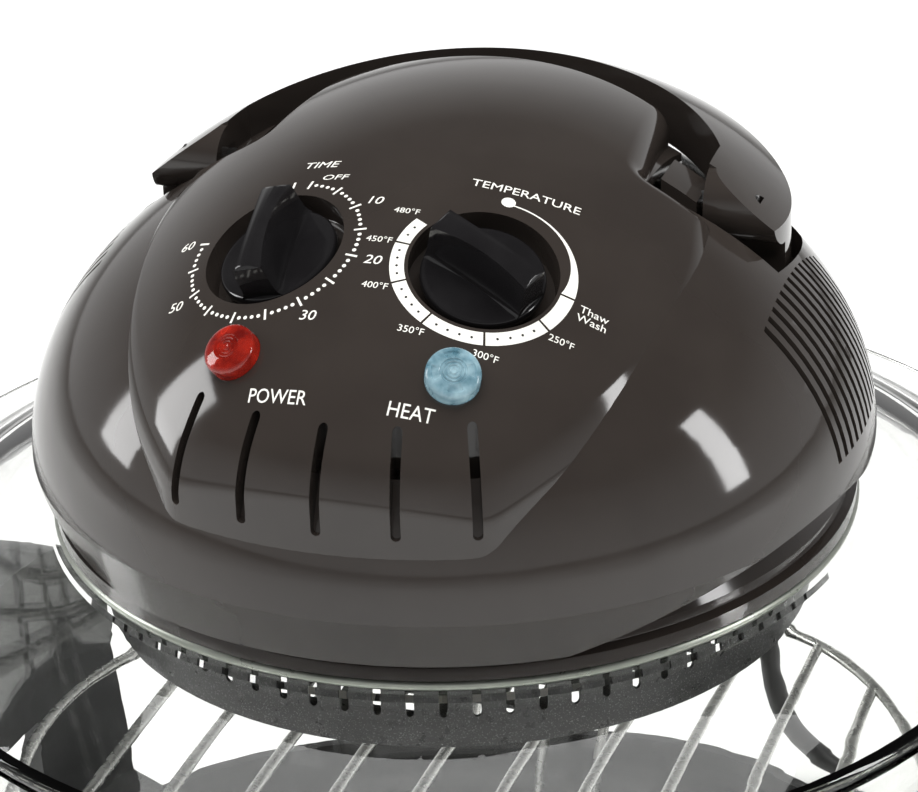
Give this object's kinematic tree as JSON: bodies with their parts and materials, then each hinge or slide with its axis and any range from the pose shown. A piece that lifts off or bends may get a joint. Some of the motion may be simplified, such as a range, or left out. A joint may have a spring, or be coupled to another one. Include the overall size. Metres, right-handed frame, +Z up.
{
  "type": "tabletop convection oven",
  "caption": "Round tabletop convection oven: black control head with fold-down handle on a glass lid, glass bowl, wire rack and handled base.",
  "frame": {"origin": "bottom centre of the base, on the table", "axes": "+Z up, the controls face -Y, +X is the object's right side seen from the front"},
  "size_m": [0.356, 0.3705, 0.32],
  "materials": {
    "satin_black": "satin",
    "gloss_black": "gloss",
    "clear_glass": "clear",
    "rack_chrome": "bright",
    "trim_chrome": "bright",
    "silicone": "satin",
    "plated_steel": "brushed",
    "screw_steel": "plain",
    "liner_black": "matte",
    "speckled_enamel": "speckled enamel",
    "quartz_tube": "frosted",
    "ceramic": "matte",
    "fan_aluminium": "plain",
    "laminated_steel": "plain",
    "copper_winding": "enamelled wire",
    "bearing_bronze": "plain",
    "switch_grey": "matte",
    "red_lens": "clear red",
    "blue_lens": "clear pale blue",
    "cord_black": "satin",
    "foot_rubber": "matte"
  },
  "bodies": {
    "base": {"base_shell": "satin_black", "base_handle_left": "satin_black", "base_handle_right": "satin_black", "base_screws": "screw_steel", "base_feet": "foot_rubber"},
    "bowl": {"glass_bowl": "clear_glass"},
    "rack": {"wire_rack": "rack_chrome"},
    "handle": {"carry_handle": "gloss_black"},
    "timer": {"timer_knob": "gloss_black", "timer_shaft": "screw_steel"},
    "thermostat": {"thermostat_knob": "gloss_black", "thermostat_shaft": "screw_steel"},
    "fan": {"fan_shaft": "screw_steel", "convection_fan": "fan_aluminium", "cooling_fan": "fan_aluminium", "motor_rotor": "laminated_steel"},
    "head": {"glass_lid": "clear_glass", "lid_gasket": "silicone", "trim_ring": "trim_chrome", "flange_ring": "gloss_black", "motor_plate": "plated_steel", "housing_liner": "liner_black", "perforated_drum": "speckled_enamel", "drum_guard": "speckled_enamel", "heat_shield": "plated_steel", "heating_ring": "quartz_tube", "heater_ends": "ceramic", "heater_clips": "plated_steel", "motor_stator": "laminated_steel", "motor_coil": "copper_winding", "motor_legs": "screw_steel", "motor_bearing": "bearing_bronze", "lower_housing": "gloss_black", "control_panel": "gloss_black", "handle_pins": "screw_steel", "housing_screws": "screw_steel", "safety_switch": "switch_grey", "terminal_block": "switch_grey", "timer_body": "switch_grey", "thermostat_body": "plated_steel", "power_lamp_lens": "red_lens", "heat_lamp_lens": "blue_lens", "lamp_holders": "switch_grey", "strain_relief": "cord_black", "power_cord": "cord_black", "cord_coil": "cord_black", "mains_plug": "cord_black"}
  },
  "joints": [
    {"name": "bowl_lift", "type": "slide", "parent": "base", "child": "bowl", "axis": [0, 0, 1], "range_m": [0, 0.12]},
    {"name": "lid_lift", "type": "slide", "parent": "bowl", "child": "head", "axis": [0, 0, 1], "range_m": [0, 0.15]},
    {"name": "rack_lift", "type": "slide", "parent": "bowl", "child": "rack", "axis": [0, 0, 1], "range_m": [0, 0.06]},
    {"name": "handle_fold", "type": "hinge", "parent": "head", "child": "handle", "pos_m": [0, 0.016, 0.296], "axis": [1, 0, 0], "range_deg": [0, 88]},
    {"name": "timer_turn", "type": "hinge", "parent": "head", "child": "timer", "pos_m": [-0.0265, -0.0538, 0.30493], "axis": [-0.2433, -0.369, 0.897], "range_deg": [-275, 8]},
    {"name": "thermostat_turn", "type": "hinge", "parent": "head", "child": "thermostat", "pos_m": [0.0265, -0.0538, 0.30493], "axis": [0.2433, -0.369, 0.897], "range_deg": [0, 285]},
    {"name": "fan_spin", "type": "hinge", "parent": "head", "child": "fan", "pos_m": [0, 0, 0.22], "axis": [0, 0, 1], "continuous": true}
  ]
}
